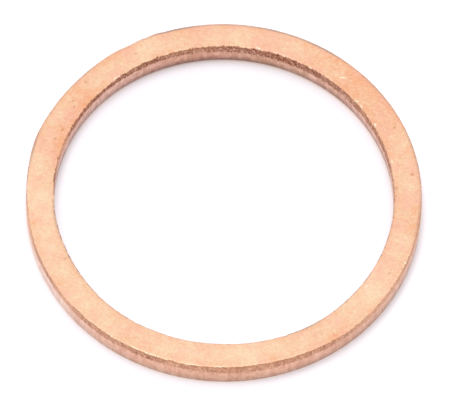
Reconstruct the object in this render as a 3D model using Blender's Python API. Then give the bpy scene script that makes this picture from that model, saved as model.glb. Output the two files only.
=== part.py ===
"""A copper sealing ring for a drain plug, punched from flat sheet in one blow.

The ring is one solid piece. It lies on its rolled side with the torn side up, as a punch leaves it: both
walls are smooth and upright below, and rough and leaning back from the edge above. Sizes are in metres, +Z
is up, and the origin is the centre of the face that the ring lies on.
"""

import math
from typing import NamedTuple

import bmesh
import bpy

# Driving dimensions of the ring, between its smooth upright walls
BORE_DIAMETER = 0.02406
RING_WIDTH = 0.00197
THICKNESS = 0.00203

# The torn zone below the upper face, which leans back from the smooth walls
RIM_TEAR_HEIGHT = 0.00062
BORE_TEAR_HEIGHT = 0.00071
TEAR_LEAN = 0.00004

# The rolled edges round the lower face, of which the bore's is the larger
RIM_ROLL_HEIGHT = 0.00014
RIM_ROLL_WIDTH = 0.00008
BORE_ROLL_HEIGHT = 0.00041
BORE_ROLL_WIDTH = 0.00020
ROLL_STEPS = 3

# How finely the round is divided, and the angle from which an edge stays crisp
SEGMENTS = 180
CRISP_ANGLE = math.radians(35)

COPPER_COLOUR = (0.80, 0.43, 0.26, 1.0)
COPPER_ROUGHNESS = 0.38


class EdgeMark(NamedTuple):
    """A swelling or a flat along an upper edge: where it is, how long, and how far the edge moves outward."""

    angle: float
    length: float
    outward: float


RIM_MARKS = (
    EdgeMark(angle=math.radians(112), length=0.0014, outward=0.00007),
    EdgeMark(angle=math.radians(121), length=0.0022, outward=-0.00005),
    EdgeMark(angle=math.radians(138), length=0.0060, outward=-0.00003),
    EdgeMark(angle=math.radians(163), length=0.0046, outward=0.00005),
    EdgeMark(angle=math.radians(219), length=0.0030, outward=0.00006),
    EdgeMark(angle=math.radians(280), length=0.0120, outward=-0.00006),
    EdgeMark(angle=math.radians(308), length=0.0050, outward=0.00006),
)
BORE_MARKS = (
    EdgeMark(angle=math.radians(133), length=0.0040, outward=-0.00004),
    EdgeMark(angle=math.radians(244), length=0.0034, outward=0.00004),
    EdgeMark(angle=math.radians(270), length=0.0050, outward=-0.00003),
    EdgeMark(angle=math.radians(304), length=0.0060, outward=0.00003),
)

BORE_RADIUS = BORE_DIAMETER / 2
RIM_RADIUS = BORE_RADIUS + RING_WIDTH


def edge_shift(marks, radius, angle):
    """How far the marks move an upper edge of this radius outward at this angle."""
    shift = 0.0
    for mark in marks:
        turn = math.remainder(angle - mark.angle, math.tau)
        along = turn * radius / (mark.length / 2)
        if abs(along) < 1:
            shift += mark.outward * math.cos(along * math.pi / 2) ** 2
    return shift


def wall_section(wall_radius, into_metal, roll_height, roll_width, tear_height, shift):
    """One wall's points as (radius, height), from the lower face to the upper edge.

    into_metal is +1 for the bore and -1 for the rim, the way from the wall into the ring.
    """
    points = []
    for step in range(ROLL_STEPS + 1):
        turn = math.pi / 2 * step / ROLL_STEPS
        inset = roll_width * (1 - math.sin(turn))
        points.append((wall_radius + into_metal * inset, roll_height * (1 - math.cos(turn))))
    points.append((wall_radius, THICKNESS - tear_height))
    points.append((wall_radius + into_metal * TEAR_LEAN + shift, THICKNESS))
    return points


def ring_section(angle):
    """The ring's closed section at this angle: up the rim, across the upper face and down the bore."""
    rim_shift = edge_shift(RIM_MARKS, RIM_RADIUS, angle)
    bore_shift = edge_shift(BORE_MARKS, BORE_RADIUS, angle)
    rim = wall_section(RIM_RADIUS, -1, RIM_ROLL_HEIGHT, RIM_ROLL_WIDTH, RIM_TEAR_HEIGHT, rim_shift)
    bore = wall_section(BORE_RADIUS, +1, BORE_ROLL_HEIGHT, BORE_ROLL_WIDTH, BORE_TEAR_HEIGHT, bore_shift)
    return rim + bore[::-1]


def ring_mesh(name):
    """The ring's section carried once round the axis, as a closed mesh."""
    ring = bmesh.new()
    sections = []
    for step in range(SEGMENTS):
        angle = math.tau * step / SEGMENTS
        across, along = math.cos(angle), math.sin(angle)
        corners = [(radius * across, radius * along, height) for radius, height in ring_section(angle)]
        sections.append([ring.verts.new(corner) for corner in corners])
    for here, there in zip(sections, sections[1:] + sections[:1]):
        for low in range(len(here)):
            high = (low + 1) % len(here)
            ring.faces.new((here[low], there[low], there[high], here[high]))
    bmesh.ops.recalc_face_normals(ring, faces=ring.faces)
    mesh = bpy.data.meshes.new(name)
    ring.to_mesh(mesh)
    ring.free()
    mesh.shade_smooth()
    mesh.set_sharp_from_angle(angle=CRISP_ANGLE)
    return mesh


def copper():
    """Bare, lightly tarnished copper."""
    material = bpy.data.materials.new("copper")
    material.use_nodes = True
    shader = material.node_tree.nodes["Principled BSDF"]
    shader.inputs["Base Color"].default_value = COPPER_COLOUR
    shader.inputs["Metallic"].default_value = 1.0
    shader.inputs["Roughness"].default_value = COPPER_ROUGHNESS
    return material


def build():
    """The sealing ring, alone in an emptied scene."""
    for thing in list(bpy.data.objects):
        bpy.data.objects.remove(thing)
    mesh = ring_mesh("sealing_ring")
    mesh.materials.append(copper())
    sealing_ring = bpy.data.objects.new("sealing_ring", mesh)
    bpy.context.scene.collection.objects.link(sealing_ring)


build()
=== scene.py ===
"""The look of a copper sealing ring for a drain plug, lying torn side up on a pale floor.

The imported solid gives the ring's place and its outer sizes. One closed mesh stands in for it, with the same
punched section and the finer relief of the real part: a jagged torn band below both upper edges, smooth
drawn walls under it, a rolled lower edge, and worn, slightly wavering upper edges. Angles run anticlockwise
round the ring from +X as seen from above, in degrees, so 90 is the side away from the camera. Lengths are
in metres unless a name says otherwise.
"""

import logging
import math
from collections.abc import Iterable, Mapping
from dataclasses import dataclass
from enum import Enum
from typing import Any

import bpy
from mathutils import Matrix, Vector


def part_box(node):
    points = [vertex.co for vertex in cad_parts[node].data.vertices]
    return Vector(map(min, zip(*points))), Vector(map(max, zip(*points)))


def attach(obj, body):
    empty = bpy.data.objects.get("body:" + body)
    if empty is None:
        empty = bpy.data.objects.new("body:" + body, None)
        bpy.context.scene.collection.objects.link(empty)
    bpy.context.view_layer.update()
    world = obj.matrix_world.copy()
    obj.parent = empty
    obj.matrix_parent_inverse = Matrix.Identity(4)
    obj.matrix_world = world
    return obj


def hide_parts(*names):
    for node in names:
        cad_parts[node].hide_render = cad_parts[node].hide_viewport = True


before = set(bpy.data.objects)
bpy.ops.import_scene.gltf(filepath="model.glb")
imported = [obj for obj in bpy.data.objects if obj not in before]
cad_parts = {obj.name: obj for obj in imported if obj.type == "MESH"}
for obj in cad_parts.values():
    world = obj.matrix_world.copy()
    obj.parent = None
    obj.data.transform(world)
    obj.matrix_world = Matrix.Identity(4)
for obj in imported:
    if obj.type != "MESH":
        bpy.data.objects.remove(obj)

log = logging.getLogger("sealing_ring")

MM = 0.001
RING_NODE = "sealing_ring"

# The radii of the upper edges, by which a length along an edge is turned into an angle
BORE_EDGE = 12.07 * MM
RIM_EDGE = 13.96 * MM

# The height of a torn band, as the mean of both walls
TEAR_HEIGHT = 0.66 * MM

Rows = tuple[tuple[float, float, float], ...]
Colour = tuple[float, float, float]
WHITE: Colour = (1.0, 1.0, 1.0)

# A node's socket, and what may go into one: a number, a colour, a vector, a name or another node's socket
Socket = bpy.types.NodeSocket
Feed = Any


class Wall(Enum):
    """The two punched walls of the ring, by the sign of the way into the metal along the radius."""

    BORE = 1
    RIM = -1


@dataclass(frozen=True)
class Stretch:
    """A stretch of one wall or its upper edge where something swells to an amount and dies away again."""

    wall: Wall
    angle: float
    length: float
    amount: float


def stretches(rim: Rows = (), bore: Rows = (), unit: float = 1.0) -> tuple[Stretch, ...]:
    """Stretches of both walls.

    Args:
        rim: the angle, the length in millimetres and the amount of each stretch of the rim.
        bore: the same for the bore.
        unit: what the amounts are counted in.

    Returns:
        The stretches.
    """
    rows = [(Wall.RIM, *row) for row in rim] + [(Wall.BORE, *row) for row in bore]
    return tuple(Stretch(wall, angle, length * MM, amount * unit) for wall, angle, length, amount in rows)


# How far the upper edges depart from a true circle, outward from the axis
EDGE_SHIFTS = stretches(
    rim=(
        (112, 1.4, 0.06), (121, 2.2, -0.05), (138, 6, -0.02), (163, 4.6, 0.05), (164, 11.6, 0.09),
        (15, 18, 0.028), (72, 24, 0.026), (219, 3, 0.06), (228, 0.9, 0.04), (238, 0.9, 0.04),
        (256, 1, -0.05), (280, 12, -0.06), (308, 5, 0.06),
    ),
    bore=(
        (133, 4, -0.04), (205, 12, -0.065), (225, 0.7, 0.04), (241, 0.8, 0.03), (248, 4, -0.02),
        (270, 5, -0.03), (292, 0.7, 0.04), (304, 8, 0.045), (262, 14, -0.03), (182, 3, -0.03),
        (348, 12, -0.025),
    ),
    unit=MM,
)

# How much further down the torn band reaches than it does elsewhere
TEAR_CHANGES = stretches(
    rim=(
        (194, 10, 0.32), (228, 14, 0.13), (276, 12, 0.13), (290, 5, 0.03), (313, 9, 0.08), (60, 30, 0.06),
    ),
    bore=(
        (17, 16, 0.22), (58, 15, 0.1), (114, 7, -0.12), (140, 13, -0.2), (250, 22, 0.05),
    ),
    unit=MM,
)

# How much lower the torn band starts than it does elsewhere, because the brink there is rounded over
LATE_TEARS = stretches(
    rim=(
        (207, 9, 0.12), (230, 9, 0.05), (317, 8, 0.08), (90, 40, 0.06),
    ),
    bore=(
        (22, 12, 0.14), (52, 13, 0.11), (82, 3, 0.02), (97, 6, -0.04), (120, 3, -0.02), (130, 3, -0.03),
        (149, 11, 0.06), (190, 8, 0.06), (270, 36, 0.09), (352, 10, 0.07),
    ),
    unit=MM,
)

# Where the brink of the face carries a painted dark reflection, a grey-brown line on the edges that turn away
# from the camera, from 0 to 1
DARK_REFLECTION_BRINKS = stretches(
    rim=(
        (15, 10, 0.4), (40, 8, 0.4), (61, 7, 0.85), (77, 6, 0.8), (90, 5, 0.5), (106, 7, 1),
        (123, 5, 0.2), (137, 6, 0.38), (151, 5, 0.22), (166, 5, 0.62), (354, 6, 0.5),
    ),
    bore=(
        (192, 5, 0.45), (208, 6, 0.2), (235, 8, 0.15), (300, 5, 0.45), (350, 8, 0.15),
    ),
)

# Where the torn band is paler, because its grains are smeared over, up to 1, or darker, down to -1
PALE_TEARS = stretches(
    rim=(
        (330, 16, 0.28), (303, 6, -0.1), (250, 4, -0.16), (256, 1.2, 0.22), (219, 4, 0.36), (190, 5, 0.5),
    ),
    bore=(
        (6, 5, 0.38), (28, 12, 0.15), (38, 4.5, 0.14), (52, 5, 0.1), (70, 4, -0.6), (98, 6, 0.2),
        (110, 3, 0.14), (121, 3, -0.25), (143.5, 6.5, -0.55), (164, 5, 0.5),
    ),
)

# Where the torn band is redder than elsewhere, from 0 to 1
RED_TEARS = stretches(
    bore=(
        (27, 9, 0.9), (154, 6.5, 0.7),
    ),
)

# Where the drawn walls are paler and greyer than elsewhere, from 0 to 1: on the rim's left and right sides,
# which are seen edge-on, a painted sheen
PALE_WALLS_AND_SHEEN = stretches(
    rim=(
        (209, 15, 0.74), (238, 5, 0.12), (336, 11, 0.32),
    ),
    bore=(
        (6, 6, 0.4), (30, 10, 0.31), (48, 7, 0.14), (63, 8, 0.22), (77, 7, 0.14), (138, 15, 0.28),
        (154, 5, 0.12), (172, 5, 0.05),
    ),
)

# Where the drawn walls are more olive than pink, from 0 to 1
OLIVE_WALLS = stretches(
    rim=(
        (272, 14, 0.4), (238, 4, 0.2), (331, 22, 0.5),
    ),
    bore=(
        (76, 8, 0.7), (104, 4, 0.4), (63, 1.8, 0.6), (55, 1.2, 0.5), (49, 2.6, 0.6),
    ),
)

# Where the upper edges carry painted highlights, partly the lighter colour of burnished metal, from 0 to 1
BRIGHT_EDGES = stretches(
    rim=(
        (246, 11, 1.1), (270, 8, 0.7), (205, 6, 0.3), (337, 5, 0.45),
    ),
    bore=(
        (106, 11, 0.45), (72, 12, 0.45), (34, 12, 0.4), (133, 5, 0.35),
    ),
)

# Where the face is warmer in colour along its inner and its outer half, from 0 to 1
WARM_SPELLS = stretches(
    rim=(
        (6, 10, 0.36), (30, 5, 0.2), (45, 14, 0.72), (65, 7, 0.2), (80, 8, 0.26), (102, 9, 0.48),
        (128, 8, 0.46), (144, 8, 0.2), (160, 7, 0.28), (178, 10, -0.16), (210, 5, -0.04), (242, 7, 0.12),
        (250, 6, 0.12), (270, 5, 0.06), (290, 6, 0.12), (306, 7, 0.48), (336, 6, 0.24), (351, 5, 0.46),
    ),
    bore=(
        (5, 12, 0.3), (37, 13, 0.62), (62, 9, 0.29), (82, 7, 0.06), (108, 8, 0.26), (150, 12, 0.78),
        (171, 7, 0.46), (212, 8, 0.32), (234, 7, 0.22), (255, 6, 0.22), (274, 5, -0.16), (328, 5, -0.2),
        (300, 5, 0.3), (347, 6, 0.22),
    ),
)


@dataclass(frozen=True)
class Spot:
    """A small mark on the upper face.

    Its reach is 0 at the bore's edge and 1 at the rim's. Its length and width are in millimetres, and its
    turn is that of its length from +X.
    """

    angle: float
    reach: float
    length: float
    width: float
    turn: float = 0.0

    def centre(self) -> tuple[float, float, float]:
        """The middle of the mark, in millimetres."""
        radius = (BORE_EDGE + (RIM_EDGE - BORE_EDGE) * self.reach) / MM
        turn = math.radians(self.angle)
        return (radius * math.cos(turn), radius * math.sin(turn), 0.0)


# Small stains and grains of dirt pressed into the face
PITS = (
    Spot(146.5, 0.54, 0.30, 0.22), Spot(148.1, 0.37, 0.24, 0.24), Spot(157.5, 0.26, 0.34, 0.24, turn=60),
    Spot(156.4, 0.41, 0.24, 0.22), Spot(161.5, 0.39, 0.24, 0.26), Spot(207.0, 0.16, 0.28, 0.24),
    Spot(8.7, 0.73, 0.42, 0.30), Spot(4.0, 0.08, 0.24, 0.50), Spot(1.2, 0.05, 0.20, 0.30),
    Spot(139.0, 0.70, 0.40, 0.20, turn=-20), Spot(333.0, 0.62, 0.36, 0.22, turn=30),
    Spot(120.5, 0.52, 0.26, 0.22), Spot(26.0, 0.66, 0.34, 0.20, turn=40),
)

# Scrapes and raised points that catch the light
GLINTS = (
    Spot(50.1, 0.38, 0.75, 0.18, turn=-4), Spot(47.6, 0.50, 0.26, 0.08, turn=-24),
    Spot(79.8, 0.05, 0.30, 0.34), Spot(80.6, 0.10, 0.18, 0.16), Spot(40.4, 0.06, 0.26, 0.26),
    Spot(38.1, 0.05, 0.22, 0.24), Spot(29.6, 0.05, 0.30, 0.34), Spot(14.4, 0.08, 0.20, 0.34),
    Spot(338.3, 0.96, 0.20, 0.28), Spot(325.1, 0.19, 0.34, 0.18, turn=50), Spot(262.4, 0.96, 0.40, 0.16),
    Spot(269.6, 0.94, 0.30, 0.14), Spot(131.0, 0.06, 0.50, 0.16, turn=40),
    Spot(71.5, 0.58, 0.30, 0.12, turn=-20),
)

# Reddish blushes of heat or handling
BLUSHES = (
    Spot(59.6, 0.87, 1.60, 0.44, turn=-30), Spot(47.7, 0.88, 1.80, 0.70, turn=-42),
    Spot(86.6, 0.86, 3.20, 0.36, turn=-3), Spot(97.0, 0.93, 2.40, 0.24, turn=7),
    Spot(33.0, 0.45, 1.60, 0.70, turn=-60), Spot(153.0, 0.24, 2.20, 0.60, turn=64),
    Spot(168.0, 0.10, 1.50, 0.34, turn=78), Spot(243.0, 0.24, 1.80, 0.70, turn=-27),
    Spot(296.0, 0.18, 1.60, 0.40, turn=26), Spot(331.0, 0.80, 1.20, 0.50, turn=60),
)


class Wiring:
    """Adds nodes to one tree and joins them, so that a tree reads as the steps it takes."""

    def __init__(self, tree: bpy.types.NodeTree) -> None:
        """Starts on this tree."""
        self.tree = tree

    def node(
        self, kind: str, feeds: Mapping[str | int, Feed] | None = None, **settings: Any
    ) -> bpy.types.Node:
        """Adds one node.

        Args:
            kind: the node's Blender type.
            feeds: what goes into its sockets, by name or number, each a value or another node's socket.
            settings: the node's own properties.

        Returns:
            The new node.
        """
        node = self.tree.nodes.new(kind)
        for name, value in settings.items():
            setattr(node, name, value)
        for socket, feed in (feeds or {}).items():
            if isinstance(feed, Socket):
                self.tree.links.new(feed, node.inputs[socket])
            else:
                node.inputs[socket].default_value = feed
        return node

    def step(self, kind: str, feeds: Mapping[str | int, Feed] | None = None, **settings: Any) -> Socket:
        """Adds one node, and gives its first result."""
        return self.node(kind, feeds, **settings).outputs[0]

    def math(self, operation: str, *feeds: Feed, clamp: bool = False) -> Socket:
        """One step of arithmetic, as a socket."""
        return self.step("ShaderNodeMath", dict(enumerate(feeds)), operation=operation, use_clamp=clamp)

    def add(self, first: Feed, *others: Feed) -> Socket:
        """The sum of all these."""
        for other in others:
            first = self.math("ADD", first, other)
        return first

    def times(self, first: Feed, *others: Feed) -> Socket:
        """The product of all these."""
        for other in others:
            first = self.math("MULTIPLY", first, other)
        return first

    def minus(self, first: Feed, second: Feed, clamp: bool = False) -> Socket:
        """The first less the second, kept between 0 and 1 if so asked."""
        return self.math("SUBTRACT", first, second, clamp=clamp)

    def rise(self, value: Feed, low: float, high: float, start: Feed = 0.0, end: Feed = 1.0) -> Socket:
        """A smooth climb of a value.

        Args:
            value: what is read.
            low: where the climb begins.
            high: where it ends, which may be less than low.
            start: the result at low and before it.
            end: the result at high and after it.

        Returns:
            The socket with the result.
        """
        feeds = {0: value, 1: low, 2: high, 3: start, 4: end}
        return self.step("ShaderNodeMapRange", feeds, interpolation_type="SMOOTHSTEP")

    def blend(self, share: Feed, first: Feed, second: Feed) -> Socket:
        """A number between two, by the second one's share."""
        return self.step("ShaderNodeMix", {0: share, 2: first, 3: second}, data_type="FLOAT")

    def tint(self, share: Feed, first: Feed, second: Feed, kind: str = "MIX") -> Socket:
        """A colour between two, by the second one's share."""
        feeds = {0: share, 6: opaque(first), 7: opaque(second)}
        return self.node("ShaderNodeMix", feeds, data_type="RGBA", blend_type=kind).outputs[2]

    def stained(self, share: Feed, colour: Feed, stain: Feed) -> Socket:
        """A colour multiplied by a stain, by the stain's share."""
        return self.tint(share, colour, stain, "MULTIPLY")

    def moved(self, vector: Feed, factors: tuple[float, float, float], turn: float = 0.0) -> Socket:
        """A vector stretched by the factors after a turn about Z by so many degrees."""
        turned = vector
        if turn:
            feeds = {"Vector": vector, "Angle": math.radians(turn)}
            turned = self.step("ShaderNodeVectorRotate", feeds, rotation_type="Z_AXIS")
        feeds = {0: turned, 1: factors}
        return self.step("ShaderNodeVectorMath", feeds, operation="MULTIPLY")

    def noise(
        self, vector: Feed, scale: Feed, seed: Feed, detail: float = 2.0, rough: float = 0.5
    ) -> Socket:
        """Soft random values from 0 to 1 about a mean of a half.

        Args:
            vector: the place.
            scale: how many swings there are to one unit of the place.
            seed: another number gives other values.
            detail: how many finer layers are laid over the first.
            rough: how much each finer layer counts.

        Returns:
            The socket with the value.
        """
        feeds = {"Vector": vector, "W": seed, "Scale": scale, "Detail": detail, "Roughness": rough}
        return self.step("ShaderNodeTexNoise", feeds, noise_dimensions="4D")

    def along(self, stretches: Iterable[Stretch], wall: Wall, radius: float, angle: Feed) -> Socket:
        """What the stretches of one wall add up to at an angle.

        Args:
            stretches: the stretches, of which those of the other wall are passed over.
            wall: the wall that is asked for.
            radius: the wall's radius, which turns a length into an angle.
            angle: the angle round the ring, in radians.

        Returns:
            The socket with the sum.
        """
        total: Feed = 0.0
        for stretch in stretches:
            if stretch.wall is not wall:
                continue
            turn = self.minus(angle, math.radians(stretch.angle))
            turn = self.math("ABSOLUTE", self.math("WRAP", turn, math.pi, -math.pi))
            total = self.add(total, self.rise(turn, stretch.length / 2 / radius, 0.0, 0.0, stretch.amount))
        return total

    def between(
        self,
        stretches: Iterable[Stretch],
        share: Feed,
        angle: Feed,
        radii: tuple[float, float] = (BORE_EDGE, RIM_EDGE),
    ) -> Socket:
        """What the stretches of both walls add up to at an angle.

        Args:
            stretches: the stretches.
            share: how far the rim's sum counts against the bore's, from 0 to 1.
            angle: the angle round the ring, in radians.
            radii: the radii of the bore and the rim.

        Returns:
            The socket with the sum.
        """
        bore, rim = (self.along(stretches, wall, radius, angle) for wall, radius in zip(Wall, radii))
        return self.blend(share, bore, rim)

    def spots(self, place: Feed, spots: Iterable[Spot]) -> Socket:
        """How far a place on the face lies in one of these spots.

        Args:
            place: the place, in millimetres.
            spots: the spots.

        Returns:
            The socket with a share from 0 to 1.
        """
        total: Feed = 0.0
        for spot in spots:
            feeds = {0: place, 1: spot.centre()}
            offset = self.step("ShaderNodeVectorMath", feeds, operation="SUBTRACT")
            shape = self.moved(offset, (2 / spot.length, 2 / spot.width, 0.0), -spot.turn or 0.001)
            gap = self.node("ShaderNodeVectorMath", {0: shape}, operation="LENGTH").outputs["Value"]
            total = self.math("MAXIMUM", total, self.rise(gap, 1.15, 0.25))
        return total


def opaque(colour: Feed) -> Feed:
    """A colour of three numbers with full cover added, or a socket as it is."""
    return (*colour, 1.0) if isinstance(colour, tuple) else colour


# The mesh's own attributes: 0 at the bore and 1 at the rim; 0 on the upper face, 1 at the foot of the torn
# band, 2 where the roll starts and 3 on the lower face; how deep the torn grain goes at a point; and where
# the brink of the face has chipped away
RIM_SHARE = "rim_share"
FALL = "fall"
HOLLOW = "hollow"
CHIP = "chip"

# What the points carry only while the ring is made: the way round as a share, and the plain section's place
TURN = "turn"
SECTION_X = "section_x"
SECTION_Z = "section_z"


def placed(name: str, data: bpy.types.ID) -> bpy.types.Object:
    """A new object with this data, in the scene."""
    thing = bpy.data.objects.new(name, data)
    bpy.context.scene.collection.objects.link(thing)
    return thing


def cleared(owner: bpy.types.Material | bpy.types.World) -> Wiring:
    """The wiring of a material or a world, empty at first."""
    owner.use_nodes = True
    owner.node_tree.nodes.clear()
    return Wiring(owner.node_tree)


@dataclass(frozen=True)
class Surface:
    """What a finish may ask about a point of the ring's skin, each a socket of one shader tree."""

    place: Socket
    angle: Socket
    rim_share: Socket
    fall: Socket
    hollow: Socket
    chip: Socket
    to_edge: Socket
    on_rim: Socket
    down: Socket

    @classmethod
    def of(cls, net: Wiring) -> "Surface":
        """Reads the object's coordinates and the mesh's own attributes.

        Args:
            net: the shader tree.

        Returns:
            The sockets. The place and the way down from the brink of the face are in millimetres, and the way
            down is less than 0 on the face. The way to the nearer edge is a share of the ring's width. On the
            rim's half of the ring on_rim is 1, and on the bore's 0.
        """
        coordinates = net.node("ShaderNodeTexCoord").outputs["Object"]
        feeds = {0: coordinates, "Scale": 1 / MM}
        place = net.step("ShaderNodeVectorMath", feeds, operation="SCALE")
        parts = net.node("ShaderNodeSeparateXYZ", {0: place}).outputs
        angle = net.math("ARCTAN2", parts[1], parts[0])
        own = [
            net.node("ShaderNodeAttribute", attribute_name=name).outputs["Fac"]
            for name in (RIM_SHARE, FALL, HOLLOW, CHIP)
        ]
        to_edge = net.math("MINIMUM", own[0], net.minus(1.0, own[0]))
        on_face = net.times(to_edge, (BORE_EDGE - RIM_EDGE) / MM)
        down = net.add(net.times(own[1], TEAR_HEIGHT / MM), on_face)
        return cls(place, angle, *own, to_edge, net.rise(own[0], 0.4, 0.6), down)

    def along(self, net: Wiring, stretches: Iterable[Stretch]) -> Socket:
        """What the stretches of this point's own wall add up to."""
        return net.between(stretches, self.on_rim, self.angle)


@dataclass(frozen=True)
class RolledFace:
    """The flat face of the copper sheet: pale and warm, with a soft mottle and fine rolling lines."""

    pale: Colour = (1.0, 0.755, 0.535)
    warm: Colour = (0.98, 0.535, 0.322)
    pink: Colour = (1.0, 0.60, 0.45)
    shade: Colour = (0.925, 0.79, 0.73)
    pit: Colour = (0.62, 0.36, 0.23)
    glint: Colour = (1.0, 0.88, 0.68)
    blush_strength: float = 0.55
    glint_strength: float = 0.9
    pit_strength: float = 0.42
    grain_turn: float = 14.0

    def colour(self, net: Wiring, at: Surface) -> Socket:
        """The face's colour.

        Args:
            net: the shader tree.
            at: the point of the skin.

        Returns:
            The socket with the colour.
        """
        spell = net.between(WARM_SPELLS, net.rise(at.rim_share, 0.1, 0.9), at.angle)
        broad = net.minus(net.noise(at.place, scale=0.6, seed=3.1, detail=3, rough=0.6), 0.5)
        fine = net.minus(net.noise(at.place, scale=2.6, seed=1.7, detail=4, rough=0.7), 0.5)
        beside = net.times(net.rise(at.to_edge, 0.40, 0.10), 0.20)
        warmth = net.add(0.11, beside, net.times(spell, 0.8), net.times(broad, 1.3))
        warmth = net.add(warmth, net.times(fine, 1.7))
        colour = net.tint(warmth, self.pale, self.warm)
        patches = net.noise(at.place, scale=0.8, seed=5.3, detail=4, rough=0.6)
        colour = net.tint(net.rise(patches, 0.46, 0.64, 0.0, 0.7), colour, self.pink)
        upper = net.rise(at.fall, 1.0, 0.5)
        blush = net.times(net.spots(at.place, BLUSHES), upper, self.blush_strength)
        colour = net.tint(blush, colour, self.pink)
        strokes = net.moved(at.place, (3.0, 5.2, 1.0), self.grain_turn)
        strokes = net.noise(strokes, scale=1.0, seed=2.2, detail=3, rough=0.7)
        grain = net.noise(at.place, scale=7.5, seed=8.8, detail=2, rough=0.7)
        dark = net.rise(net.add(net.times(strokes, 0.5), net.times(grain, 0.5)), 0.37, 0.65)
        dark = net.times(dark, net.add(0.7, net.times(spell, 0.7)))
        colour = net.stained(dark, colour, self.shade)
        # Painted highlights along fine scratches and on the glint spots
        scratch_highlights = net.moved(at.place, (0.5, 14.0, 1.0), self.grain_turn + 6)
        scratch_highlights = net.rise(net.noise(scratch_highlights, scale=1.0, seed=8.4, detail=1), 0.70, 0.82, 0.0, 0.5)
        colour = net.tint(scratch_highlights, colour, self.glint)
        glint = net.times(net.spots(at.place, GLINTS), upper, self.glint_strength)
        colour = net.tint(glint, colour, self.glint)
        pit = net.times(net.spots(at.place, PITS), upper, self.pit_strength)
        return net.stained(pit, colour, self.pit)

    def relief(self, net: Wiring, at: Surface) -> Socket:
        """The height of the rolling lines and of the sheet's fine unevenness, about 0 to 1."""
        lines = net.moved(at.place, (0.6, 9.0, 1.0), self.grain_turn)
        lines = net.noise(lines, scale=1.0, seed=4.2, detail=3)
        bumps = net.noise(at.place, scale=3.2, seed=6.6, detail=3)
        return net.add(net.times(lines, 0.6), net.times(bumps, 0.4))


@dataclass(frozen=True)
class TornBand:
    """The rough band where the sheet tore: brown in its hollows, with lighter grains between them."""

    deep: Colour = (0.27, 0.098, 0.048)
    brown: Colour = (0.50, 0.246, 0.147)
    light: Colour = (0.79, 0.525, 0.385)
    smeared: Colour = (0.78, 0.470, 0.305)
    red: Colour = (1.0, 0.90, 0.79)
    brink: Colour = (0.98, 0.87, 0.79)
    bore_brow: Colour = (0.98, 0.91, 0.84)
    dark: Colour = (0.84, 0.69, 0.50)
    # Painted shade: the bore's torn band, inside the ring, is darker and more purple than the rim's
    bore_shade: Colour = (0.80, 0.75, 0.78)
    rim_shade: Colour = (0.83, 0.72, 0.69)
    rim_paleness: float = 0.38
    brow_strength: float = 0.45

    def colour(self, net: Wiring, at: Surface) -> Socket:
        """The torn band's colour.

        Args:
            net: the shader tree.
            at: the point of the skin.

        Returns:
            The socket with the colour.
        """
        grain = net.noise(net.moved(at.place, (1.0, 1.0, 0.5)), scale=8.0, seed=1.9, detail=3, rough=0.65)
        raised = net.minus(1.0, at.hollow)
        grain = net.add(net.times(grain, 0.85), net.times(raised, 0.15))
        colour = net.tint(net.rise(grain, 0.39, 0.50), self.deep, self.brown)
        colour = net.tint(net.rise(grain, 0.53, 0.62), colour, self.light)
        pale = net.add(at.along(net, PALE_TEARS), net.times(at.on_rim, self.rim_paleness))
        # The bore's share is painted shade; the rim's darkens the colour of its own grains
        shade = net.tint(at.on_rim, self.bore_shade, self.rim_shade)
        colour = net.stained(net.minus(1.0, pale), colour, shade)
        colour = net.tint(pale, colour, self.smeared)
        colour = net.stained(net.times(pale, -1.0), colour, self.dark)
        colour = net.stained(at.along(net, RED_TEARS), colour, self.red)
        on_bore = net.minus(1.0, at.on_rim)
        brow = net.times(net.rise(at.down, 0.50, 0.10), on_bore, self.brow_strength)
        colour = net.stained(brow, colour, self.bore_brow)
        return net.stained(net.rise(at.down, 0.26, 0.02), colour, self.brink)

    def relief(self, net: Wiring, at: Surface) -> Socket:
        """The height of the grains that are finer than the mesh, about 0 to 1."""
        return net.noise(net.moved(at.place, (1.0, 1.0, 0.7)), scale=9.0, seed=9.1, detail=3, rough=0.6)


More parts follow.
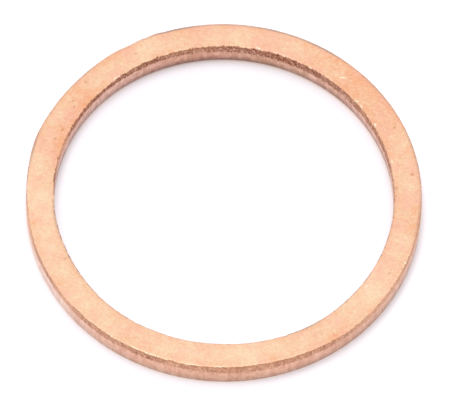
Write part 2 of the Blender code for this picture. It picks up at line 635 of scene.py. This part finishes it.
@dataclass(frozen=True)
class DrawnWall:
    """The smooth lower part of a wall, drawn by the punch: pinkish, with faint upright streaks."""

    rim_pink: Colour = (0.87, 0.54, 0.39)
    # The bore's pink is darker than the rim's: painted shade, as the bore lies inside the ring
    shaded_bore_pink: Colour = (0.805, 0.462, 0.338)
    paleness_and_sheen: Colour = (0.94, 0.77, 0.67)
    olive: Colour = (0.72, 0.44, 0.285)
    rim_streak: Colour = (0.80, 0.69, 0.65)
    bore_streak: Colour = (0.71, 0.61, 0.57)
    # Painted shade at the walls' foot, where they reflect the shaded floor in the crease
    rim_foot_shade: Colour = (0.76, 0.86, 0.93)
    bore_foot_shade: Colour = (0.53, 0.52, 0.56)

    def colour(self, net: Wiring, at: Surface) -> Socket:
        """The drawn wall's colour.

        Args:
            net: the shader tree.
            at: the point of the skin.

        Returns:
            The socket with the colour.
        """
        # Paler, greyer stretches of wall; on the rim's sides, seen edge-on, a painted sheen
        paleness_and_sheen = at.along(net, PALE_WALLS_AND_SHEEN)
        colour = net.tint(at.on_rim, self.shaded_bore_pink, self.rim_pink)
        colour = net.tint(paleness_and_sheen, colour, self.paleness_and_sheen)
        colour = net.tint(at.along(net, OLIVE_WALLS), colour, self.olive)
        streaks = net.noise(net.moved(at.place, (1.0, 1.0, 0.16)), scale=2.6, seed=5.9, detail=5, rough=0.75)
        blots = net.noise(net.moved(at.place, (1.0, 1.0, 0.7)), scale=3.0, seed=2.7, detail=4, rough=0.65)
        mark = net.add(net.times(streaks, 0.5), net.times(blots, 0.5))
        streak = net.tint(at.on_rim, self.bore_streak, self.rim_streak)
        colour = net.stained(net.rise(mark, 0.39, 0.60), colour, streak)
        # Painted shade: the drawn wall darkens towards its foot, less where it is paler
        foot = net.tint(at.on_rim, self.bore_foot_shade, self.rim_foot_shade)
        low = net.times(net.rise(at.fall, 1.27, 2.12), net.add(1.0, net.times(paleness_and_sheen, -0.6)))
        return net.stained(low, colour, foot)

    def relief(self, net: Wiring, at: Surface) -> Socket:
        """The height of the upright drawing lines, about 0 to 1."""
        return net.noise(net.moved(at.place, (1.0, 1.0, 0.06)), scale=7.0, seed=3.3, detail=2)


@dataclass(frozen=True)
class Copper:
    """Bare copper, with a finish of its own for the sheet's faces, the torn bands and the drawn walls."""

    face: RolledFace = RolledFace()
    torn: TornBand = TornBand()
    drawn: DrawnWall = DrawnWall()
    # The colour of the painted highlights on the upper edges
    edge_highlight: Colour = (1.0, 0.86, 0.62)
    # The colour of the painted dark reflection on brinks that turn away from the camera
    brink_dark_reflection: Colour = (0.50, 0.335, 0.27)
    face_roughness: float = 0.42
    torn_roughness: float = 0.55
    drawn_roughness: float = 0.36
    face_bump: float = 0.004 * MM
    torn_bump: float = 0.020 * MM
    drawn_bump: float = 0.003 * MM

    def material(self) -> bpy.types.Material:
        """Makes the material that the whole ring wears.

        Returns:
            The material, which reads the object's coordinates and the mesh's own attributes.
        """
        material = bpy.data.materials.new("copper_finish")
        net = cleared(material)
        at = Surface.of(net)
        ragged = net.noise(net.moved(at.place, (1.0, 1.0, 0.5)), scale=5.5, seed=6.1, detail=4, rough=0.7)
        ragged = net.minus(ragged, 0.5)
        late = net.times(at.along(net, LATE_TEARS), 1 / MM)
        bright = at.along(net, BRIGHT_EDGES)
        jagged = net.times(ragged, net.blend(at.on_rim, 0.8, 0.5))
        jagged = net.times(jagged, net.rise(bright, 0.5, 1.1, 1.0, 0.4))
        start = net.add(late, net.blend(at.on_rim, -0.01, 0.01), jagged, net.times(at.chip, -0.07))
        below = net.minus(at.down, start)
        reach = net.add(at.fall, net.times(ragged, 0.8))
        torn = net.times(net.rise(below, -0.015, 0.025), net.rise(reach, 1.05, 0.95))
        drawn = net.times(net.rise(reach, 0.95, 1.05), net.rise(at.fall, 2.95, 2.80))
        colour = net.tint(drawn, self.face.colour(net, at), self.drawn.colour(net, at))
        # Painted highlights along the upper edges, partly the lighter colour of burnished metal
        colour = net.tint(self.edge_shine(net, at, below, bright), colour, self.edge_highlight)
        # Painted dark reflection: a grey-brown line along the brink of the face
        brink = net.times(net.rise(at.down, -0.23, -0.11), net.rise(at.fall, 0.4, 0.1))
        dark_reflection = net.times(at.along(net, DARK_REFLECTION_BRINKS), brink)
        colour = net.tint(dark_reflection, colour, self.brink_dark_reflection)
        colour = net.tint(torn, colour, self.torn.colour(net, at))
        roughness = net.blend(drawn, self.face_roughness, self.drawn_roughness)
        roughness = net.blend(torn, roughness, self.torn_roughness)
        normal = self.bumps(net, at, torn, drawn)
        feeds = {"Base Color": colour, "Metallic": 1.0, "Roughness": roughness, "Normal": normal}
        shader = net.step("ShaderNodeBsdfPrincipled", feeds)
        net.node("ShaderNodeOutputMaterial", {0: shader})
        return material

    def edge_shine(self, net: Wiring, at: Surface, below: Socket, bright: Socket) -> Socket:
        """How far a point belongs to a painted highlight along an upper edge.

        Args:
            net: the shader tree.
            at: the point of the skin.
            below: how far down the point lies from the start of the torn band, in millimetres.
            bright: how far the edge carries painted highlights there, partly burnished metal.

        Returns:
            The socket with a share from 0 to 1.
        """
        patchy = net.noise(at.place, scale=6.0, seed=4.4, detail=3, rough=0.65)
        shine = net.rise(net.add(patchy, net.times(bright, 0.20)), 0.64, 0.71)
        return net.times(net.rise(below, -0.17, -0.09), shine, net.rise(at.fall, 0.3, 0.05))

    def bumps(self, net: Wiring, at: Surface, torn: Socket, drawn: Socket) -> Socket:
        """The normal with the relief that is finer than the mesh.

        Args:
            net: the shader tree.
            at: the point of the skin.
            torn: how far the point belongs to a torn band.
            drawn: how far it belongs to a drawn wall.

        Returns:
            The socket with the normal.
        """
        face = net.times(self.face.relief(net, at), self.face_bump)
        lines = net.times(self.drawn.relief(net, at), self.drawn_bump)
        grains = net.times(self.torn.relief(net, at), self.torn_bump)
        height = net.blend(torn, net.blend(drawn, face, lines), grains)
        return net.step("ShaderNodeBump", {"Height": height, "Strength": 1.0, "Distance": 1.0})


@dataclass(frozen=True)
class WallShape:
    """One wall's plain section: a torn band that leans back, an upright drawn part and a rolled foot."""

    wall: Wall
    radius: float
    thickness: float
    tear_height: float
    tear_lean: float
    roll_height: float
    roll_width: float

    def point(self, fall: float) -> Vector:
        """One point of the wall.

        Args:
            fall: how far down, from 0 at the upper edge to 3 on the lower face.

        Returns:
            The point, with its radius as X and its height as Z.
        """
        foot = self.thickness - self.tear_height
        if fall <= 1:
            lean = self.tear_lean * (1 - fall)
            return Vector((self.radius + self.wall.value * lean, 0, foot + self.tear_height * (1 - fall)))
        if fall <= 2:
            return Vector((self.radius, 0, foot + (self.roll_height - foot) * (fall - 1)))
        turn = math.pi / 2 * (fall - 2)
        inset = self.roll_width * (1 - math.cos(turn))
        return Vector((self.radius + self.wall.value * inset, 0, self.roll_height * (1 - math.sin(turn))))


class RingTree(Wiring):
    """The tree that carries a ring's section round the axis and gives it its relief."""

    def __init__(self, ring: "SealingRing") -> None:
        """Starts the tree and reads what each point of the swept section carries.

        Args:
            ring: the ring, whose sizes become the tree's named inputs.
        """
        super().__init__(bpy.data.node_groups.new("punched_ring", "GeometryNodeTree"))
        kinds = {"Section": "Geometry", "Segments": "Int", **dict.fromkeys(ring.sizes(), "Float")}
        for name, kind in {**kinds, "Finish": "Material"}.items():
            self.tree.interface.new_socket(name, in_out="INPUT", socket_type=f"NodeSocket{kind}")
        self.tree.interface.new_socket("Ring", in_out="OUTPUT", socket_type="NodeSocketGeometry")
        self.given = self.node("NodeGroupInput").outputs
        self.radii = (ring.bore_radius, ring.rim_radius)
        self.angle = self.times(self.carried(TURN), math.tau)
        self.share, self.fall = self.carried(RIM_SHARE), self.carried(FALL)
        self.to_edge = self.math("MINIMUM", self.share, self.minus(1.0, self.share))
        self.radius, self.height = self.carried(SECTION_X), self.carried(SECTION_Z)
        far = self.times(self.radius, 1 / MM)
        self.place_mm = self.around(far, self.times(self.height, 1 / MM))
        self.edge_mm = self.around(far, 0.0)

    def carried(self, name: str) -> Socket:
        """A number that the mesh carries at each point."""
        return self.step("GeometryNodeInputNamedAttribute", {"Name": name}, data_type="FLOAT")

    def stored(self, geometry: Socket, name: str, value: Socket) -> Socket:
        """The geometry, whose points now carry one more number."""
        feeds = {"Geometry": geometry, "Name": name, "Value": value}
        return self.step("GeometryNodeStoreNamedAttribute", feeds, data_type="FLOAT", domain="POINT")

    def around(self, radius: Feed, height: Feed) -> Socket:
        """The place at this radius and height, at the point's own angle."""
        across, up = self.math("COSINE", self.angle), self.math("SINE", self.angle)
        parts = (self.times(radius, across), self.times(radius, up), height)
        return self.step("ShaderNodeCombineXYZ", dict(enumerate(parts)))

    def random(self, place: Socket, scale: float, number: float, **layers: float) -> Socket:
        """One of the ring's own noises, which all follow its seed."""
        return self.noise(place, scale, self.add(self.given["Seed"], number), **layers)

    def shift(self, known: Iterable[Stretch], ragged: Socket, waver: str) -> Socket:
        """How far something is moved at a point.

        Args:
            known: the stretches where it is moved.
            ragged: random values from 0 to 1, which are added about their middle.
            waver: the input that says how far they count.

        Returns:
            The socket with the way.
        """
        moved = self.between(known, self.share, self.angle, self.radii)
        return self.add(moved, self.times(self.minus(ragged, 0.5), self.given[waver]))

    def swept(self) -> Socket:
        """Carries the section round the axis.

        Returns:
            The plain ring, whose points know the way round and their place in the section.
        """
        profile = self.step("GeometryNodeMeshToCurve", {"Mesh": self.given["Section"]})
        parts = self.node("ShaderNodeSeparateXYZ", {0: self.step("GeometryNodeInputPosition")}).outputs
        profile = self.stored(self.stored(profile, SECTION_X, parts[0]), SECTION_Z, parts[2])
        feeds = {"Resolution": self.given["Segments"], "Radius": self.radii[1]}
        circle = self.step("GeometryNodeCurvePrimitiveCircle", feeds, mode="RADIUS")
        circle = self.stored(circle, TURN, self.step("GeometryNodeSplineParameter"))
        return self.step("GeometryNodeCurveToMesh", {"Curve": circle, "Profile Curve": profile})

    def hollow(self) -> Socket:
        """How deep the torn grain goes.

        Returns:
            The socket with a share from 0 to 1, which is 0 away from the torn bands.
        """
        place = self.moved(self.place_mm, (1.0, 1.0, 0.7))
        coarse = self.times(self.random(place, scale=3.2, number=1, detail=2), 0.35)
        fine = self.times(self.random(place, scale=6.0, number=2, detail=2, rough=0.6), 0.65)
        grain = self.rise(self.add(coarse, fine), 0.36, 0.66)
        within = self.times(self.rise(self.fall, 0.0, 0.14, 0.35, 1.0), self.rise(self.fall, 1.0, 0.84))
        return self.times(grain, within)

    def chip(self) -> Socket:
        """How far the brink of the face is chipped away or rounded over.

        Returns:
            The socket with a share from 0 to 1.
        """
        chips = self.random(self.edge_mm, scale=3.0, number=7, detail=5, rough=0.75)
        brim = self.times(self.to_edge, self.radii[1] - self.radii[0])
        broken = self.rise(self.math("DIVIDE", brim, self.given["Chip Width"]), 1.0, 0.1)
        broken = self.times(self.rise(chips, 0.46, 0.60), broken)
        rounded = self.rise(self.math("DIVIDE", brim, self.given["Brink Width"]), 1.6, 0.4)
        return self.times(self.math("MAXIMUM", broken, rounded), self.rise(self.fall, 0.3, 0.0))

    def worn_radius(self, hollow: Socket) -> Socket:
        """Lets the upper edges waver, and lets the torn grain and the drawn lines go into the metal.

        Args:
            hollow: how deep the torn grain goes.

        Returns:
            The socket with the radius.
        """
        ragged = self.random(self.edge_mm, scale=2.6, number=0, detail=4, rough=0.65)
        edge = self.shift(EDGE_SHIFTS, ragged, "Edge Waver")
        edge = self.times(edge, self.minus(1.0, self.fall, clamp=True))
        inward = self.minus(1.0, self.times(self.share, 2.0))
        grain = self.times(hollow, self.rise(self.fall, 0.0, 0.03), self.given["Grain Depth"], inward)
        lines = self.random(self.moved(self.place_mm, (1.0, 1.0, 0.06)), scale=4.0, number=3)
        lines = self.times(lines, self.rise(self.fall, 1.0, 1.1), self.rise(self.fall, 3.0, 2.2))
        return self.add(self.radius, edge, grain, self.times(lines, self.given["Drawn Waver"], inward))

    def worn_height(self, chip: Socket) -> Socket:
        """Lets the foot of the torn band waver, and wears the upper edges and the face.

        Args:
            chip: how far the brink is chipped away.

        Returns:
            The socket with the height.
        """
        ragged = self.random(self.edge_mm, scale=1.7, number=5, detail=5, rough=0.7)
        foot = self.shift(TEAR_CHANGES, ragged, "Tear Waver")
        from_foot = self.math("ABSOLUTE", self.minus(self.fall, 1.0))
        foot = self.times(foot, self.minus(1.0, from_foot, clamp=True))
        worn = self.rise(self.random(self.edge_mm, scale=3.0, number=4, detail=3), 0.35, 0.75, 0.25, 1.0)
        worn = self.times(worn, self.rise(self.to_edge, 0.03, 0.0), self.rise(self.fall, 0.05, 0.0))
        worn = self.times(worn, self.given["Edge Wear"])
        chipped = self.times(chip, self.given["Chip Depth"])
        swell = self.times(self.random(self.place_mm, scale=0.8, number=6), self.rise(self.fall, 0.02, 0.0))
        swell = self.times(swell, self.given["Face Waver"])
        return self.minus(self.height, self.add(foot, worn, chipped, swell))

    def joined(self) -> bpy.types.NodeTree:
        """Joins the tree up from its inputs to its end.

        Returns:
            The tree.
        """
        hollow, chip = self.hollow(), self.chip()
        skin = self.stored(self.stored(self.swept(), HOLLOW, hollow), CHIP, chip)
        place = self.around(self.worn_radius(hollow), self.worn_height(chip))
        skin = self.step("GeometryNodeSetPosition", {"Geometry": skin, "Position": place})
        for name in (TURN, SECTION_X, SECTION_Z):
            skin = self.step("GeometryNodeRemoveAttribute", {"Geometry": skin, "Name": name})
        skin = self.step("GeometryNodeSetShadeSmooth", {"Geometry": skin, "Shade Smooth": True})
        skin = self.step("GeometryNodeRealizeInstances", {"Geometry": skin})
        skin = self.step("GeometryNodeSetMaterial", {"Geometry": skin, "Material": self.given["Finish"]})
        self.node("NodeGroupOutput", {0: skin})
        return self.tree


@dataclass
class SealingRing:
    """The ring's visible mesh: its punched section carried round the axis, then torn and worn."""

    bore_radius: float
    rim_radius: float
    thickness: float
    rim_tear: float = 0.62 * MM
    bore_tear: float = 0.71 * MM
    tear_lean: float = 0.04 * MM
    rim_roll: tuple[float, float] = (0.14 * MM, 0.07 * MM)
    bore_roll: tuple[float, float] = (0.43 * MM, 0.22 * MM)
    segments: int = 1500
    grain_depth: float = 0.046 * MM
    tear_waver: float = 0.30 * MM
    edge_waver: float = 0.045 * MM
    edge_wear: float = 0.030 * MM
    brink_width: float = 0.055 * MM
    chip_width: float = 0.15 * MM
    chip_depth: float = 0.04 * MM
    face_waver: float = 0.006 * MM
    drawn_waver: float = 0.006 * MM
    seed: int = 11

    FACE_ROWS = (
        0.008, 0.021, 0.042, 0.07, 0.11, 0.20, 0.34, 0.5, 0.66, 0.80, 0.89, 0.93, 0.958, 0.979, 0.992
    )
    TORN_ROWS = (0.04, 0.10, 0.18, 0.27, 0.37, 0.47, 0.57, 0.67, 0.77, 0.87, 0.95, 1.0)
    DRAWN_ROWS = (1.04, 1.14, 1.35, 1.6, 1.82, 2.0)
    ROLL_ROWS = (2.25, 2.5, 2.75, 3.0)
    UNDER_ROWS = (0.25, 0.5, 0.75)

    def section(self) -> bpy.types.Mesh:
        """Draws the plain section.

        Returns:
            A mesh of one closed line in the XZ plane, whose points know their rim share and their fall.
        """
        high, lean = self.thickness, self.tear_lean
        rim = WallShape(Wall.RIM, self.rim_radius, high, self.rim_tear, lean, *self.rim_roll)
        bore = WallShape(Wall.BORE, self.bore_radius, high, self.bore_tear, lean, *self.bore_roll)
        falls = (0.0, *self.TORN_ROWS, *self.DRAWN_ROWS, *self.ROLL_ROWS)
        points: list[tuple[Vector, float, float]] = [(rim.point(fall), 1.0, fall) for fall in falls]
        points += [(rim.point(3).lerp(bore.point(3), share), 1 - share, 3.0) for share in self.UNDER_ROWS]
        points += [(bore.point(fall), 0.0, fall) for fall in reversed(falls)]
        points += [(bore.point(0).lerp(rim.point(0), share), share, 0.0) for share in self.FACE_ROWS]
        count = len(points)
        places, shares, all_falls = zip(*points)
        mesh = bpy.data.meshes.new("ring_section")
        mesh.from_pydata(places, [(n, (n + 1) % count) for n in range(count)], [])
        for name, values in ((RIM_SHARE, shares), (FALL, all_falls)):
            mesh.attributes.new(name, "FLOAT", "POINT").data.foreach_set("value", values)
        return mesh

    def sizes(self) -> dict[str, float]:
        """The tree's number inputs, by name."""
        return {
            "Grain Depth": self.grain_depth,
            "Tear Waver": self.tear_waver,
            "Edge Waver": self.edge_waver,
            "Edge Wear": self.edge_wear,
            "Brink Width": self.brink_width,
            "Chip Width": self.chip_width,
            "Chip Depth": self.chip_depth,
            "Face Waver": self.face_waver,
            "Drawn Waver": self.drawn_waver,
            "Seed": float(self.seed),
        }

    def build(self, finish: bpy.types.Material) -> bpy.types.Object:
        """Makes the ring as a plain mesh.

        Args:
            finish: the material that it wears.

        Returns:
            The finished object, at the origin.
        """
        worker = placed("ring_worker", self.section())
        modifier = worker.modifiers.new("punched_ring", "NODES")
        modifier.node_group = RingTree(self).joined()
        given = {"Segments": self.segments, **self.sizes(), "Finish": finish}
        for socket in modifier.node_group.interface.items_tree:
            if socket.name in given:
                modifier[socket.identifier] = given[socket.name]
        bpy.context.view_layer.update()
        graph = bpy.context.evaluated_depsgraph_get()
        mesh = bpy.data.meshes.new_from_object(
            worker.evaluated_get(graph), preserve_all_data_layers=True, depsgraph=graph
        )
        bpy.data.objects.remove(worker)
        mesh.name = "copper_ring"
        return placed("copper_ring", mesh)


# How much darker the floor is in the crease at the ring's foot than the lamps make it, or paler below 0
CREASES = stretches(
    rim=(
        (250, 26, 0.13), (291, 11, 0.3), (332, 32, 0.62),
    ),
    bore=(
        (110, 23, 0.34), (164, 13, 0.42), (42, 12, -0.2),
    ),
)


@dataclass(frozen=True)
class StudioFloor:
    """A plain white sheet under the ring, which keeps the ring's shadow."""

    bore_radius: float
    rim_radius: float
    width: float = 3.0
    colour: Colour = (0.85, 0.84, 0.90)
    lift: float = 0.36
    crease_width: float = 0.50 * MM
    glow: Colour = (1.0, 0.82, 0.69)
    glow_width: float = 0.22 * MM

    def material(self) -> bpy.types.Material:
        """White paper, lifted to the background's white for the rays that see it directly.

        The lift is less in the crease at the ring's foot, and warmer where the copper glows on the paper.

        Returns:
            The material.
        """
        material = bpy.data.materials.new("white_sheet")
        net = cleared(material)
        paper = net.step("ShaderNodeBsdfDiffuse", {"Color": opaque(self.colour)})
        place = net.node("ShaderNodeTexCoord").outputs["Object"]
        parts = net.node("ShaderNodeSeparateXYZ", {0: place}).outputs
        reach = net.node("ShaderNodeVectorMath", {0: place}, operation="LENGTH").outputs["Value"]
        angle = net.math("ARCTAN2", parts[1], parts[0])
        inside = net.minus(self.bore_radius, reach)
        outside = net.minus(reach, self.rim_radius)
        away = net.math("MAXIMUM", inside, outside)
        crease = net.between(CREASES, net.math("GREATER_THAN", outside, 0.0), angle)
        crease = net.times(crease, net.rise(away, self.crease_width, 0))
        lift = net.times(net.minus(1.0, crease), self.lift)
        seen = net.times(seen_directly(net), lift)
        tone = net.tint(net.rise(away, self.glow_width, 0), WHITE, self.glow)
        light = net.step("ShaderNodeEmission", {"Color": tone, "Strength": seen})
        both = net.step("ShaderNodeAddShader", {0: paper, 1: light})
        net.node("ShaderNodeOutputMaterial", {0: both})
        return material

    def build(self) -> bpy.types.Object:
        """Lays the sheet at height 0.

        Returns:
            The floor object.
        """
        half = self.width / 2
        corners = [(-half, -half, 0), (half, -half, 0), (half, half, 0), (-half, half, 0)]
        mesh = bpy.data.meshes.new("studio_floor")
        mesh.from_pydata(corners, [], [(0, 1, 2, 3)])
        mesh.materials.append(self.material())
        return placed("studio_floor", mesh)


def seen_directly(net: Wiring) -> Socket:
    """1 for camera, glossy and transmission rays, and 0 for the others."""
    rays = net.node("ShaderNodeLightPath").outputs
    glossy = net.math("MAXIMUM", rays["Is Glossy Ray"], rays["Is Transmission Ray"])
    return net.math("MAXIMUM", rays["Is Camera Ray"], glossy)


@dataclass(frozen=True)
class SoftLamp:
    """A square softbox that looks at the ring."""

    name: str
    place: tuple[float, float, float]
    width: float
    watts: float
    colour: Colour = WHITE
    mirrored: bool = True

    def build(self) -> bpy.types.Object:
        """Hangs the lamp.

        Returns:
            The lamp object.
        """
        light = bpy.data.lights.new(self.name, "AREA")
        light.size = self.width
        light.energy = self.watts
        light.color = self.colour
        lamp = placed(self.name, light)
        lamp.location = self.place
        lamp.rotation_euler = Vector(self.place).to_track_quat("Z", "Y").to_euler()
        lamp.visible_glossy = self.mirrored
        return lamp


@dataclass(frozen=True)
class Studio:
    """Soft light from all round with one broad lamp above, and the white that stands behind the ring."""

    fill: float = 0.62
    fill_colour: Colour = (0.94, 0.95, 1.0)
    lamps: tuple[SoftLamp, ...] = (
        SoftLamp("key_softbox", (-0.04, 0.14, 0.62), 0.60, 2.0, (1.0, 0.98, 0.96), mirrored=False),
        SoftLamp("edge_softbox", (-0.05, -0.12, 0.60), 0.12, 0.10, (1.0, 0.97, 0.92)),
    )

    def build(self) -> None:
        """Sets the world and hangs the lamps."""
        world = bpy.data.worlds.new("white_studio")
        net = cleared(world)
        seen = seen_directly(net)
        colour = net.tint(seen, self.fill_colour, WHITE)
        strength = net.blend(seen, self.fill, 1.0)
        sky = net.step("ShaderNodeBackground", {"Color": colour, "Strength": strength})
        net.node("ShaderNodeOutputWorld", {0: sky})
        bpy.context.scene.world = world
        for lamp in self.lamps:
            lamp.build()
            log.info("lamp %s: %.2f W at %s", lamp.name, lamp.watts, lamp.place)


@dataclass(frozen=True)
class ProductCamera:
    """A long lens that looks down on the ring from the near side."""

    elevation: float = 60.712
    roll: float = -1.770
    distance: float = 0.523
    focus_height: float = 2.03 * MM
    lens: float = 590.3
    sensor: float = 36.0
    right_px: float = 1.38
    down_px: float = 6.28
    px: float = 0.07072 * MM

    def build(self) -> bpy.types.Object:
        """Sets up the camera as the scene's own.

        Returns:
            The camera object.
        """
        lift, roll = math.radians(self.elevation), math.radians(self.roll)
        back = Vector((0, -math.cos(lift), math.sin(lift)))
        right = Vector((1, 0, 0))
        up = back.cross(right)
        right, up = math.cos(roll) * right - math.sin(roll) * up, math.sin(roll) * right + math.cos(roll) * up
        place = Vector((0, 0, self.focus_height)) + back * self.distance
        place += (right * self.right_px - up * self.down_px) * self.px
        data = bpy.data.cameras.new("product_camera")
        data.lens = self.lens
        data.sensor_width = self.sensor
        data.clip_start = 0.01
        data.clip_end = 10.0
        camera = placed("product_camera", data)
        camera.matrix_world = Matrix.Translation(place) @ Matrix((right, up, back)).transposed().to_4x4()
        bpy.context.scene.camera = camera
        return camera


def bore_radius_of(node: str) -> float:
    """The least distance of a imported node's points from the upright axis."""
    return min(math.hypot(vertex.co.x, vertex.co.y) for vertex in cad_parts[node].data.vertices)


def main() -> None:
    """Builds the ring, the studio and the camera."""
    logging.basicConfig(level=logging.INFO, format="%(name)s: %(message)s")
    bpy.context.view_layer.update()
    bpy.context.scene.view_settings.view_transform = "Standard"
    low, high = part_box(RING_NODE)
    bore_radius = bore_radius_of(RING_NODE)
    log.info("packed node %s: %s to %s, bore %.5f", RING_NODE, tuple(low), tuple(high), bore_radius)
    ring = SealingRing(bore_radius=bore_radius, rim_radius=max(high[0], high[1]), thickness=high[2])
    piece = ring.build(Copper().material())
    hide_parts(RING_NODE)
    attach(piece, "root")
    log.info("%s: %d faces", piece.name, len(piece.data.polygons))
    floor = StudioFloor(ring.bore_radius, ring.rim_radius).build()
    log.info("%s: %.1f m wide", floor.name, StudioFloor.width)
    Studio().build()
    camera = ProductCamera().build()
    log.info("%s: %.1f mm lens at %s", camera.name, camera.data.lens, tuple(camera.matrix_world.translation))


if __name__ == "__main__":
    main()
